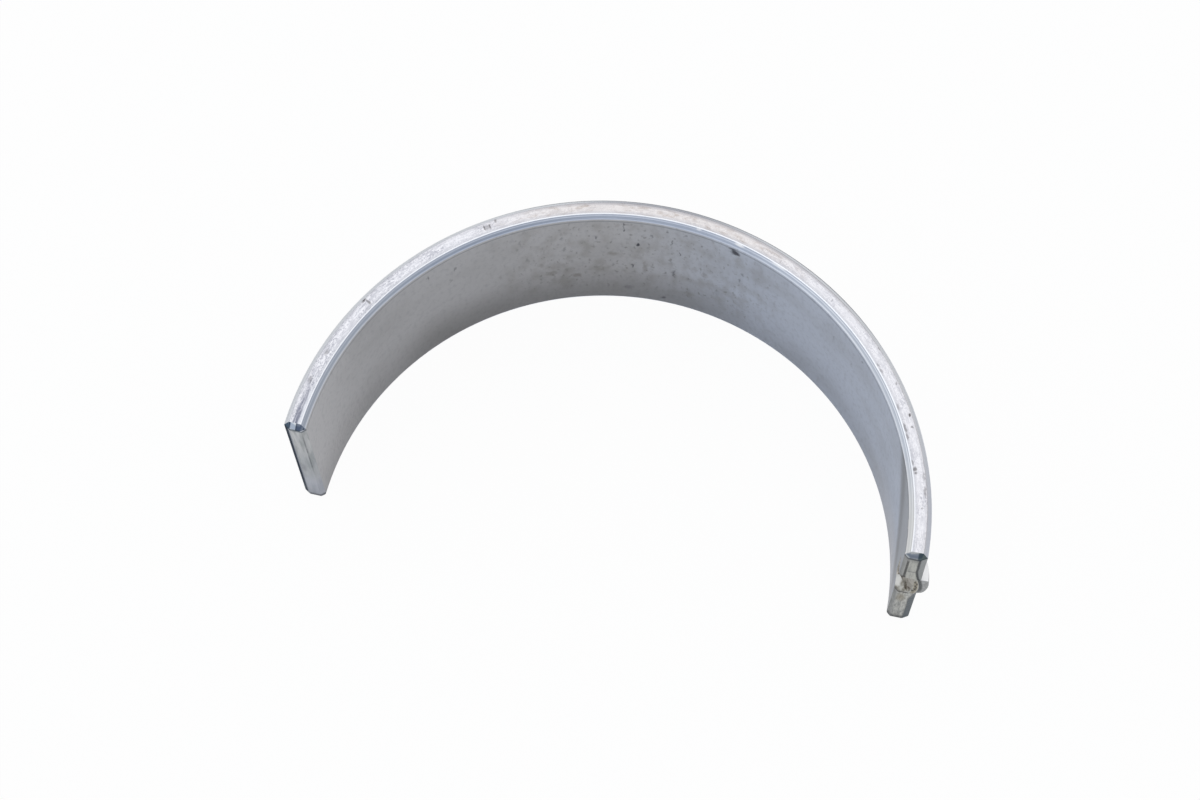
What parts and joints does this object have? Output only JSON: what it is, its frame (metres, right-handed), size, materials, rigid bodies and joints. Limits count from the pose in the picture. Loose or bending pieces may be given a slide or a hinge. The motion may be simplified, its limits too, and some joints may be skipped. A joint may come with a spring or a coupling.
{
  "type": "engine bearing shell",
  "caption": "Plain half-round bearing shell of rolled steel strip with a soft lining, chamfered rims and corners, and a pressed locating lug at one parting face.",
  "frame": {"origin": "on the lower rim's plane, under the middle of the shell's width between the parting faces, halfway between those faces and the crown; the bearing axis is 14.16 mm from it towards -Y", "axes": "+X across the parting faces to the end with the locating lug, +Y to the crown of the arc, +Z along the bearing axis to the rim with the wider chamfers"},
  "size_m": [0.057, 0.028, 0.0167],
  "materials": {
    "lined_steel_strip": "satin, lightly brushed round the bore, with brighter machined rims"
  },
  "bodies": {
    "root": {"bearing_shell": "lined_steel_strip"}
  },
  "joints": []
}
